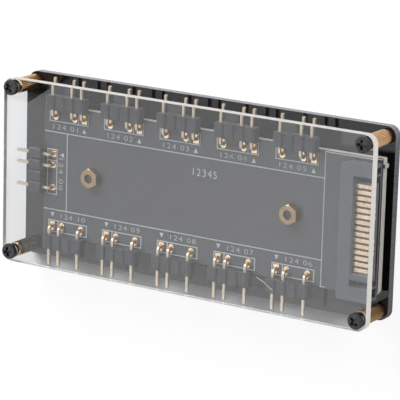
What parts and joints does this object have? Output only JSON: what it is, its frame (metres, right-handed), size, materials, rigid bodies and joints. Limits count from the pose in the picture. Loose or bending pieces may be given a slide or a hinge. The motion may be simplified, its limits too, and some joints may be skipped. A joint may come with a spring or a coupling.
{
  "type": "addressable rgb hub",
  "caption": "Flat lighting hub: circuit board between a clear cover and a black back plate, with pin header outputs along both long edges, an input at one end and a power socket at the other.",
  "frame": {"origin": "bottom centre of the back plate's underside, on the centre lines of the two plates", "axes": "+X to the power socket, +Y to the long edge with outputs 1 to 5, +Z out through the clear cover; the hub lies on its back"},
  "size_m": [0.0924, 0.0424, 0.0127],
  "materials": {
    "black_acrylic": "cast acrylic sheet, polished face, laser-cut edge",
    "clear_acrylic": "clear cast acrylic sheet, laser-cut edge",
    "solder_mask": "dark solder mask on glass-epoxy laminate",
    "gold_pad": "gold-plated lands",
    "solder": "tin solder, bright",
    "print": "printed ink",
    "brass": "turned and knurled brass",
    "black_screw": "black oxide steel",
    "nylon": "natural nylon",
    "socket_plastic": "moulded glass-filled nylon",
    "contact_gold": "gold-flashed bronze contact strip",
    "header_plastic": "moulded black header plastic",
    "gold_pin": "gold-flashed brass wire"
  },
  "bodies": {
    "root": {"back_plate": "black_acrylic", "front_cover": "clear_acrylic", "circuit_board": "solder_mask", "solder_pads": "gold_pad", "solder_joints": "solder", "board_print": "print", "standoff_top_left": "brass", "standoff_top_right": "brass", "standoff_bottom_left": "brass", "standoff_bottom_right": "brass", "cover_screws": "black_screw", "back_screws": "black_screw", "board_screws": "black_screw", "board_spacers": "nylon", "board_nuts": "brass", "power_socket_housing": "socket_plastic", "power_socket_contacts": "contact_gold", "input_header": "header_plastic", "input_pins": "gold_pin", "output_header_01": "header_plastic", "output_header_02": "header_plastic", "output_header_03": "header_plastic", "output_header_04": "header_plastic", "output_header_05": "header_plastic", "output_header_06": "header_plastic", "output_header_07": "header_plastic", "output_header_08": "header_plastic", "output_header_09": "header_plastic", "output_header_10": "header_plastic", "output_pins_01": "gold_pin", "output_pins_02": "gold_pin", "output_pins_03": "gold_pin", "output_pins_04": "gold_pin", "output_pins_05": "gold_pin", "output_pins_06": "gold_pin", "output_pins_07": "gold_pin", "output_pins_08": "gold_pin", "output_pins_09": "gold_pin", "output_pins_10": "gold_pin"}
  },
  "joints": []
}
